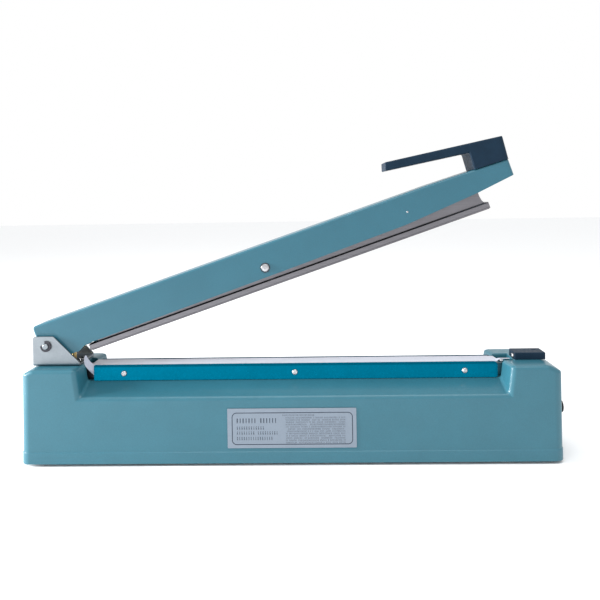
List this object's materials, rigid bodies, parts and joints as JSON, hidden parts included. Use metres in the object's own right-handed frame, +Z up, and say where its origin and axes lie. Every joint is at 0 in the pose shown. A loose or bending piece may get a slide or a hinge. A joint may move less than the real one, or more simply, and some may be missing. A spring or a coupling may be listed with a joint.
{
  "type": "impulse heat sealer",
  "caption": "Bench impulse heat sealer: a cast base with a heated bed under a PTFE cloth, and a hinged arm with a rocking press bar, lever handle, micro switch and timer knob.",
  "frame": {"origin": "bottom centre of the whole machine's box, on the surface that its feet stand on", "axes": "+X along the machine from the hinge to the timer end, +Y to the rear, +Z up; the operator stands at -Y"},
  "size_m": [0.5612, 0.0834, 0.3298],
  "materials": {
    "blue_paint": "fine hammered stove enamel, semi-gloss",
    "strip_paint": "smooth saturated teal, gloss",
    "zinc_steel": "zinc plated, satin",
    "bright_steel": "bright plated",
    "dark_steel": "blackened",
    "aluminium": "mill-finish extrusion",
    "brass": "machined",
    "nichrome": "resistance ribbon",
    "copper": "enamelled wire winding",
    "navy_plastic": "moulded, dark navy, fine texture",
    "black_plastic": "moulded, black",
    "bed_plastic": "phenolic bar",
    "ptfe": "PTFE-coated glass cloth, pale grey",
    "glass_cloth": "glass cloth tape",
    "silicone": "silicone rubber",
    "rubber": "matt black",
    "label": "printed foil label",
    "lamp": "red lens",
    "board": "circuit board"
  },
  "bodies": {
    "base": {"base_housing": "blue_paint", "bottom_plate": "zinc_steel", "foot_left_front": "rubber", "foot_left_rear": "rubber", "foot_right_front": "rubber", "foot_right_rear": "rubber", "hinge_bracket": "zinc_steel", "bracket_screw_left": "bright_steel", "bracket_screw_right": "bright_steel", "hinge_pin": "bright_steel", "pin_clip_front": "dark_steel", "pin_clip_rear": "dark_steel", "return_spring": "bright_steel", "micro_switch": "black_plastic", "heater_bed": "bed_plastic", "insulation_strip": "glass_cloth", "heating_element": "nichrome", "ptfe_cloth": "ptfe", "front_clamp_strip": "strip_paint", "rear_clamp_strip": "strip_paint", "front_strip_screw_1": "bright_steel", "front_strip_screw_2": "bright_steel", "front_strip_screw_3": "bright_steel", "rear_strip_screw_1": "bright_steel", "rear_strip_screw_2": "bright_steel", "rear_strip_screw_3": "bright_steel", "left_terminal": "brass", "right_terminal": "brass", "left_terminal_screw": "bright_steel", "right_terminal_screw": "bright_steel", "terminal_cover": "navy_plastic", "cover_screw": "bright_steel", "transformer_core": "dark_steel", "transformer_coil": "copper", "board_rail_front": "black_plastic", "board_rail_rear": "black_plastic", "timer_board": "board", "timer_relay": "black_plastic", "timer_capacitor": "dark_steel", "potentiometer": "zinc_steel", "pilot_lamp": "lamp", "cord_gland": "black_plastic", "fuse_holder": "black_plastic", "rating_label": "label"},
    "arm": {"arm_channel": "blue_paint", "arm_bush": "brass", "switch_striker": "zinc_steel", "grip_handle": "navy_plastic", "handle_screw_1": "bright_steel", "handle_screw_2": "bright_steel", "bar_pivot_screw": "bright_steel", "bar_pivot_nut": "bright_steel", "arm_rivet": "bright_steel"},
    "press_bar": {"press_bar": "aluminium", "silicone_strip": "silicone"},
    "switch_plunger": {"switch_plunger": "brass"},
    "timer_knob": {"timer_knob": "black_plastic"}
  },
  "joints": [
    {"name": "arm_hinge", "type": "hinge", "parent": "base", "child": "arm", "pos_m": [-0.25865, -0.00365, 0.119], "axis": [0, -1, 0], "range_deg": [-18.75, 41.25], "stiffness_Nm_per_rad": 8, "springref_deg": 21.2},
    {"name": "bar_rock", "type": "hinge", "parent": "arm", "child": "press_bar", "pos_m": [-0.0297, -0.00365, 0.19739], "axis": [0, -1, 0], "range_deg": [-0.3, 0.08]},
    {"name": "switch_press", "type": "slide", "parent": "base", "child": "switch_plunger", "axis": [0, 0, 1], "range_m": [-0.002, 0], "stiffness_N_per_m": 250, "springref_m": 0.002},
    {"name": "timer_turn", "type": "hinge", "parent": "base", "child": "timer_knob", "pos_m": [0.27485, -0.00165, 0.045], "axis": [1, 0, 0], "range_deg": [0, 300]}
  ]
}
